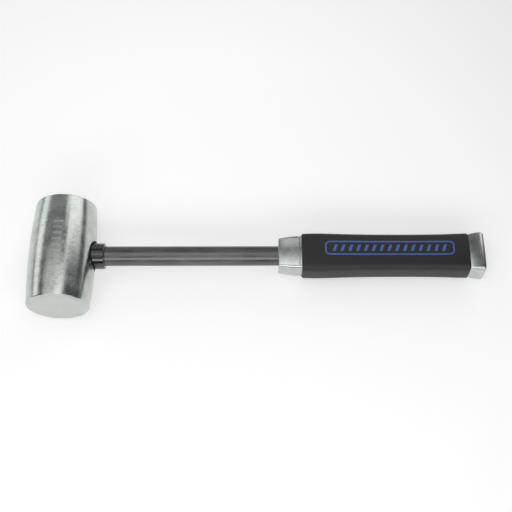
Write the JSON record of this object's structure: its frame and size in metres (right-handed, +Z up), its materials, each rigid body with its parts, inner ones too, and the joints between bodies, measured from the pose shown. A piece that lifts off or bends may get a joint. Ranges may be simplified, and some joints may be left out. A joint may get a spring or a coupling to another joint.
{
  "type": "dead blow mallet",
  "caption": "Dead blow mallet: barrel-shaped metal head holding loose steel shot, straight tubular shaft, flat-sided rubber grip and metal butt cap.",
  "frame": {"origin": "middle of the footprint, on the surface that the mallet lies on, with the belly of its head and the rim of its butt cap touching that surface", "axes": "+X from the head towards the butt, level; +Y along the head's axis; +Z up, out of the upper flat of the grip"},
  "size_m": [0.3478, 0.0838, 0.051],
  "materials": {
    "head_metal": "smooth cast, lightly polished",
    "gasket": "matte",
    "can_steel": "drawn, satin",
    "pin_steel": "rolled, satin",
    "bush_black": "gloss",
    "seal_black": "matte",
    "shaft_grey": "dark satin",
    "ferrule_metal": "smooth cast",
    "butt_metal": "smooth cast",
    "core_plastic": "matte",
    "grip_rubber": "matte, faintly grained",
    "inlay_blue": "satin blue",
    "shot_steel": "plain"
  },
  "bodies": {
    "mallet": {"head_shell": "head_metal", "near_face_plug": "head_metal", "far_face_plug": "head_metal", "near_plug_gasket": "gasket", "far_plug_gasket": "gasket", "near_shot_can": "can_steel", "far_shot_can": "can_steel", "head_pin": "pin_steel", "shaft_bush": "bush_black", "socket_seal": "seal_black", "shaft": "shaft_grey", "ferrule": "ferrule_metal", "ferrule_pin": "pin_steel", "grip_core": "core_plastic", "grip_rubber": "grip_rubber", "butt_cap": "butt_metal", "butt_pin": "pin_steel", "upper_inlay_outline": "inlay_blue", "upper_inlay_bars": "inlay_blue", "lower_inlay_outline": "inlay_blue", "lower_inlay_bars": "inlay_blue"},
    "near_shot": {"near_shot_charge": "shot_steel"},
    "far_shot": {"far_shot_charge": "shot_steel"}
  },
  "joints": [
    {"name": "near_shot_slide", "type": "slide", "parent": "mallet", "child": "near_shot", "axis": [0, 1, 0], "range_m": [-0.0027, 0.0027]},
    {"name": "far_shot_slide", "type": "slide", "parent": "mallet", "child": "far_shot", "axis": [0, 1, 0], "range_m": [-0.0027, 0.0027]}
  ]
}
